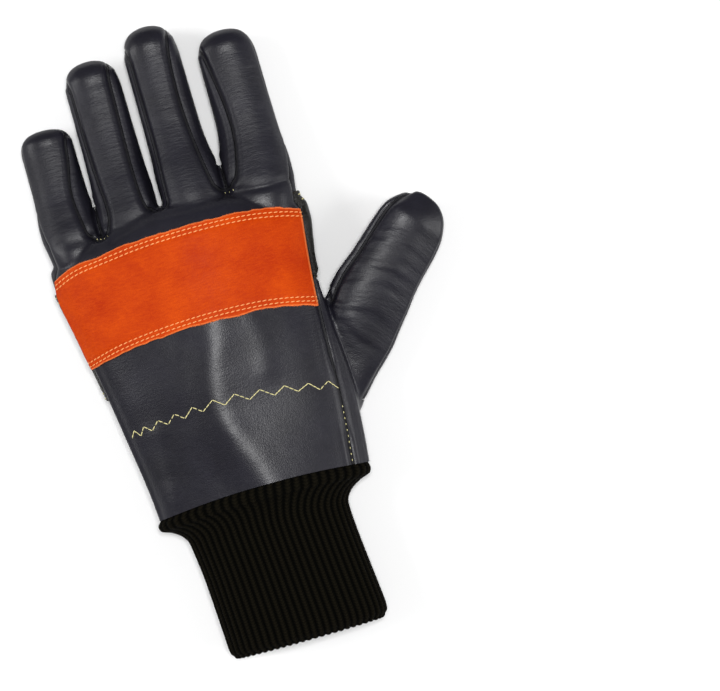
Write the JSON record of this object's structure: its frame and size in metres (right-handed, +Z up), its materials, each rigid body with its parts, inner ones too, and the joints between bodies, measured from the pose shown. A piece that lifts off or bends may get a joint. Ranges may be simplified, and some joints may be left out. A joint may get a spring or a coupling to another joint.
{
  "type": "forestry work glove",
  "caption": "Left-hand sewn leather forestry glove with a high-visibility band on the back, a reinforced palm, a wrist guard flap and a rib-knit cuff.",
  "frame": {"origin": "on the surface the glove lies on, under the middle of the palm reinforcement", "axes": "+Y from the wrist to the fingertips, +X towards the thumb, +Z up out of the back of the hand"},
  "size_m": [0.1776, 0.2851, 0.0396],
  "materials": {
    "grey_leather": "supple grain leather with a low sheen",
    "orange_leather": "matt dyed leather with raw edges",
    "black_leather": "coarse grain leather",
    "guard_leather": "supple grain leather with a raw edge",
    "black_knit": "matt rib knit"
  },
  "bodies": {
    "root": {"back_panel": "grey_leather", "palm_panel": "grey_leather", "finger_panel": "grey_leather", "thumb_panel": "grey_leather", "orange_band": "orange_leather", "palm_reinforcement": "black_leather", "wrist_guard": "guard_leather", "knit_cuff": "black_knit"}
  },
  "joints": []
}
